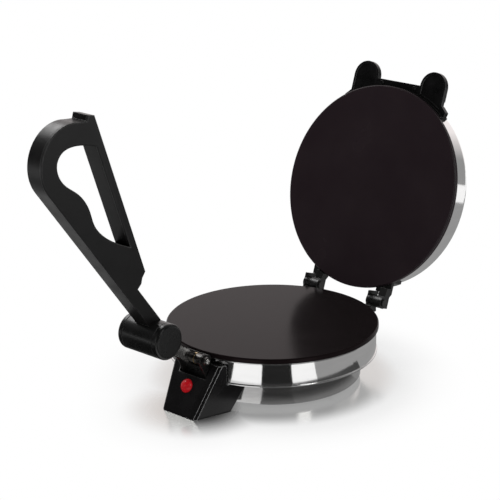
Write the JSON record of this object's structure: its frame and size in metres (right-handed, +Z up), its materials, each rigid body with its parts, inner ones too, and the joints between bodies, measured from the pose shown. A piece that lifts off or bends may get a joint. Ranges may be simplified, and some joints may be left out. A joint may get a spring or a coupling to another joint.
{
  "type": "electric roti maker",
  "caption": "Countertop flat-bread press and cooker: a heated round base plate, a heated lid hinged at the back, and a lever hinged at the front that folds over the closed lid.",
  "frame": {"origin": "centre of the base plate's cooking face", "axes": "+Z up out of the cooking face, +Y to the lid hinge at the back, -Y to the press lever, +X to the right seen from the lever"},
  "size_m": [0.24, 0.5812, 0.3579],
  "materials": {
    "nonstick_coating": "matt dark non-stick coating on cast aluminium",
    "polished_steel": "mirror-polished sheet steel",
    "pan_steel": "bright drawn steel sheet",
    "housing_plastic": "black moulded plastic, satin gloss",
    "handle_plastic": "black moulded plastic, fine grain",
    "bracket_plastic": "black heat-resistant moulding",
    "hinge_black": "black coated casting",
    "link_chrome": "bright chrome plate",
    "zinc_steel": "zinc plated steel",
    "bright_fasteners": "bright plated screws",
    "black_screws": "black oxide screws",
    "bush_brass": "turned brass",
    "rubber_black": "soft black rubber",
    "red_lens": "clear red moulded lens",
    "element_sheath": "dark oxidised tube",
    "insulation_mat": "pressed mineral fibre",
    "control_ceramic": "glazed control body",
    "terminal_plastic": "pale moulded terminal block"
  },
  "bodies": {
    "base": {"base_cooking_plate": "nonstick_coating", "base_heating_element": "element_sheath", "base_element_clamp": "zinc_steel", "base_heat_shield": "zinc_steel", "base_insulation": "insulation_mat", "base_inner_screws": "zinc_steel", "base_spacers": "zinc_steel", "base_tie_screws": "bright_fasteners", "base_thermostat": "control_ceramic", "base_thermal_fuse": "zinc_steel", "base_fuse_clip": "zinc_steel", "base_shell_band": "polished_steel", "lower_pan": "pan_steel", "bottom_cover": "zinc_steel", "rubber_feet": "rubber_black", "bottom_cover_screws": "bright_fasteners", "cord_grommet": "rubber_black", "terminal_block": "terminal_plastic", "front_housing": "housing_plastic", "housing_cover": "housing_plastic", "housing_cover_screws": "black_screws", "housing_screws": "bright_fasteners", "indicator_lens": "red_lens", "indicator_lamp": "terminal_plastic", "lever_bracket": "hinge_black", "bracket_bolts": "bright_fasteners", "pivot_bolt": "bright_fasteners", "pivot_nut": "bright_fasteners", "pivot_washers": "bright_fasteners", "base_hinge_left": "hinge_black", "base_hinge_right": "hinge_black", "base_hinge_screws": "black_screws", "hinge_pin_left": "black_screws", "hinge_pin_right": "black_screws"},
    "lid": {"lid_cooking_plate": "nonstick_coating", "lid_heating_element": "element_sheath", "lid_element_clamp": "zinc_steel", "lid_heat_shield": "zinc_steel", "lid_insulation": "insulation_mat", "lid_inner_screws": "zinc_steel", "lid_spacers": "zinc_steel", "lid_tie_screws": "bright_fasteners", "lid_thermostat": "control_ceramic", "lid_thermal_fuse": "zinc_steel", "lid_fuse_clip": "zinc_steel", "lid_shell": "polished_steel", "lid_front_bracket": "bracket_plastic", "lid_bracket_screws": "black_screws", "lid_arm_screws": "black_screws", "lid_hinge_arm_left": "hinge_black", "lid_hinge_arm_right": "hinge_black"},
    "link": {"press_link": "link_chrome", "link_bushes": "bush_brass"},
    "handle": {"roller_barrel": "handle_plastic", "roller_cap_left": "handle_plastic", "roller_cap_right": "handle_plastic", "roller_pin": "bright_fasteners", "handle_body": "handle_plastic", "handle_cover": "handle_plastic", "handle_screws": "black_screws"}
  },
  "joints": [
    {"name": "lid_hinge", "type": "hinge", "parent": "base", "child": "lid", "pos_m": [0, 0.1284, -0.0014], "axis": [1, 0, 0], "range_deg": [0, 108.9]},
    {"name": "link_pivot", "type": "hinge", "parent": "base", "child": "link", "pos_m": [0, -0.132, -0.0044], "axis": [-1, 0, 0], "range_deg": [0, 55]},
    {"name": "handle_pivot", "type": "hinge", "parent": "link", "child": "handle", "pos_m": [0, -0.193, 0.037], "axis": [-1, 0, 0], "range_deg": [0, 52]}
  ]
}
